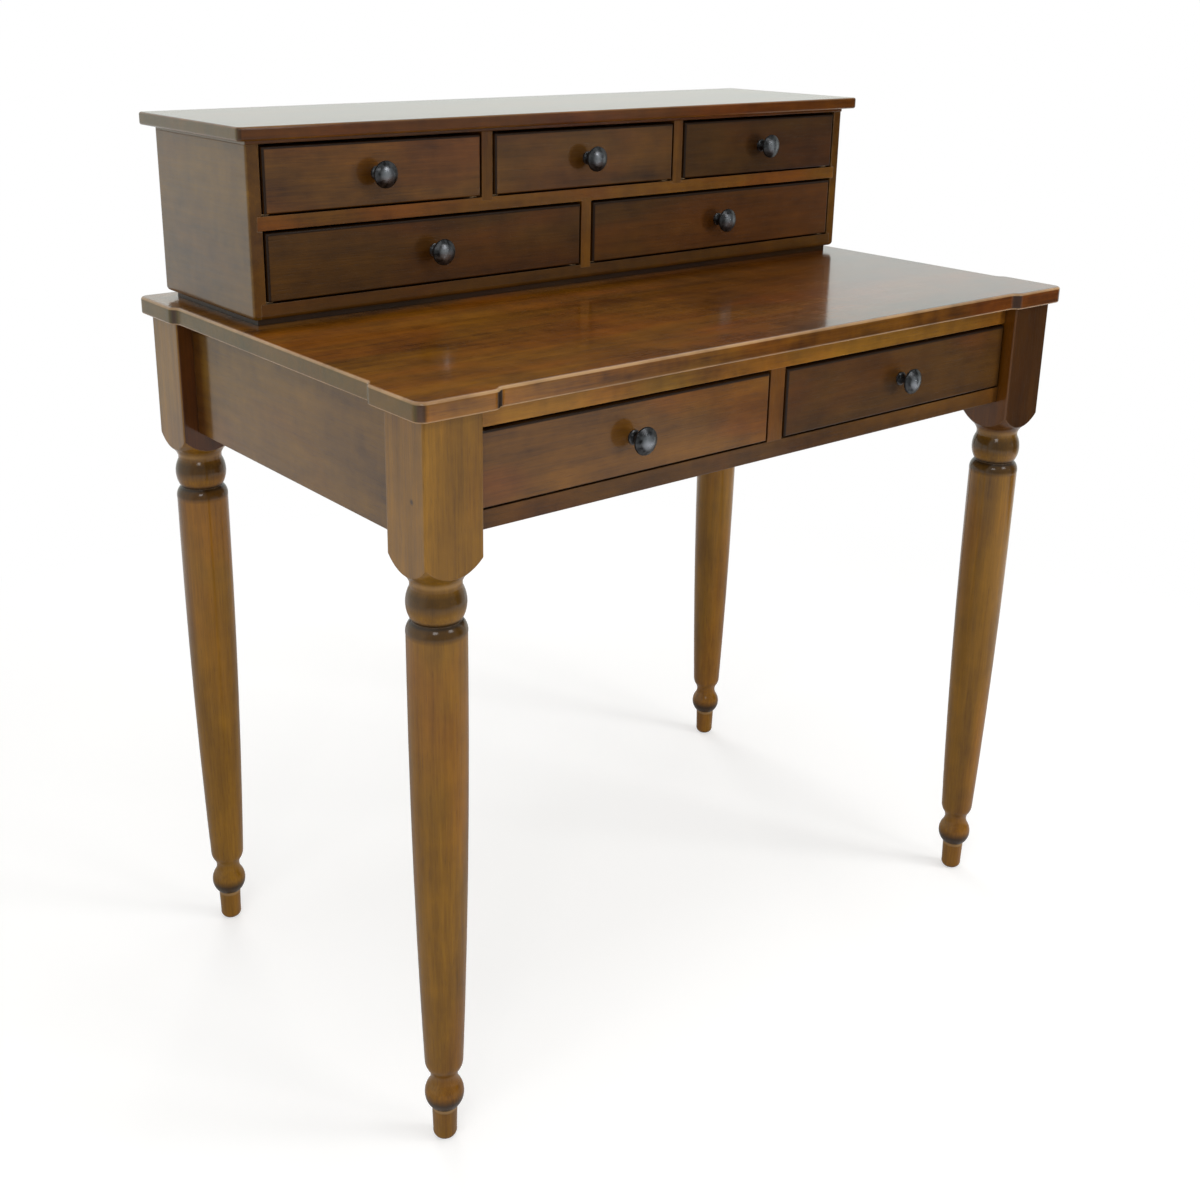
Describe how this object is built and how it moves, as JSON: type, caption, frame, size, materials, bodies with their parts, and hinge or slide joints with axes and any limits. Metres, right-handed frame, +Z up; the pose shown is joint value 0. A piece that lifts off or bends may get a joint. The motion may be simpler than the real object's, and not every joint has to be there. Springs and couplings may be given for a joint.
{
  "type": "writing desk with drawer gallery",
  "caption": "Small wooden writing desk on turned legs, with wide front drawers and a low drawer gallery across the back of the desk top.",
  "frame": {"origin": "on the floor, below the middle of the desk's plan", "axes": "+X to the right seen from the front, -Y to the front where the drawers open, +Z up"},
  "size_m": [0.87, 0.544, 0.95],
  "materials": {
    "stained_wood": "dark walnut stain under semi-gloss lacquer",
    "turned_wood": "walnut stain under semi-gloss lacquer",
    "plain_wood": "unstained, sanded",
    "panel_wood": "unstained plywood",
    "dark_metal": "dark pewter, satin",
    "screw_steel": "zinc plated"
  },
  "bodies": {
    "frame": {"leg_front_left": "turned_wood", "leg_front_right": "turned_wood", "leg_back_left": "turned_wood", "leg_back_right": "turned_wood", "side_apron_left": "stained_wood", "side_apron_right": "stained_wood", "back_apron": "stained_wood", "front_rail_upper": "stained_wood", "front_rail_lower": "stained_wood", "front_centre_stile": "stained_wood", "desk_top": "stained_wood", "drawer_runners": "plain_wood", "drawer_kickers": "plain_wood", "top_buttons": "plain_wood", "top_screws": "screw_steel", "gallery_plinth": "stained_wood", "gallery_side_left": "stained_wood", "gallery_side_right": "stained_wood", "gallery_bottom": "stained_wood", "gallery_shelf": "stained_wood", "gallery_top": "stained_wood", "gallery_back": "panel_wood", "gallery_dividers_upper": "stained_wood", "gallery_divider_lower": "stained_wood", "gallery_screws": "screw_steel"},
    "drawer_left": {"drawer_left_front": "stained_wood", "drawer_left_sides": "plain_wood", "drawer_left_back": "plain_wood", "drawer_left_bottom": "panel_wood", "drawer_left_knob": "dark_metal"},
    "drawer_right": {"drawer_right_front": "stained_wood", "drawer_right_sides": "plain_wood", "drawer_right_back": "plain_wood", "drawer_right_bottom": "panel_wood", "drawer_right_knob": "dark_metal"},
    "gallery_upper_left_drawer": {"gallery_upper_left_front": "stained_wood", "gallery_upper_left_sides": "plain_wood", "gallery_upper_left_back": "plain_wood", "gallery_upper_left_bottom": "panel_wood", "gallery_upper_left_knob": "dark_metal"},
    "gallery_upper_middle_drawer": {"gallery_upper_middle_front": "stained_wood", "gallery_upper_middle_sides": "plain_wood", "gallery_upper_middle_back": "plain_wood", "gallery_upper_middle_bottom": "panel_wood", "gallery_upper_middle_knob": "dark_metal"},
    "gallery_upper_right_drawer": {"gallery_upper_right_front": "stained_wood", "gallery_upper_right_sides": "plain_wood", "gallery_upper_right_back": "plain_wood", "gallery_upper_right_bottom": "panel_wood", "gallery_upper_right_knob": "dark_metal"},
    "gallery_lower_left_drawer": {"gallery_lower_left_front": "stained_wood", "gallery_lower_left_sides": "plain_wood", "gallery_lower_left_back": "plain_wood", "gallery_lower_left_bottom": "panel_wood", "gallery_lower_left_knob": "dark_metal"},
    "gallery_lower_right_drawer": {"gallery_lower_right_front": "stained_wood", "gallery_lower_right_sides": "plain_wood", "gallery_lower_right_back": "plain_wood", "gallery_lower_right_bottom": "panel_wood", "gallery_lower_right_knob": "dark_metal"}
  },
  "joints": [
    {"name": "drawer_left_slide", "type": "slide", "parent": "frame", "child": "drawer_left", "axis": [0, -1, 0], "range_m": [0, 0.3]},
    {"name": "drawer_right_slide", "type": "slide", "parent": "frame", "child": "drawer_right", "axis": [0, -1, 0], "range_m": [0, 0.3]},
    {"name": "gallery_upper_left_drawer_slide", "type": "slide", "parent": "frame", "child": "gallery_upper_left_drawer", "axis": [0, -1, 0], "range_m": [0, 0.14]},
    {"name": "gallery_upper_middle_drawer_slide", "type": "slide", "parent": "frame", "child": "gallery_upper_middle_drawer", "axis": [0, -1, 0], "range_m": [0, 0.14]},
    {"name": "gallery_upper_right_drawer_slide", "type": "slide", "parent": "frame", "child": "gallery_upper_right_drawer", "axis": [0, -1, 0], "range_m": [0, 0.14]},
    {"name": "gallery_lower_left_drawer_slide", "type": "slide", "parent": "frame", "child": "gallery_lower_left_drawer", "axis": [0, -1, 0], "range_m": [0, 0.14]},
    {"name": "gallery_lower_right_drawer_slide", "type": "slide", "parent": "frame", "child": "gallery_lower_right_drawer", "axis": [0, -1, 0], "range_m": [0, 0.14]}
  ]
}
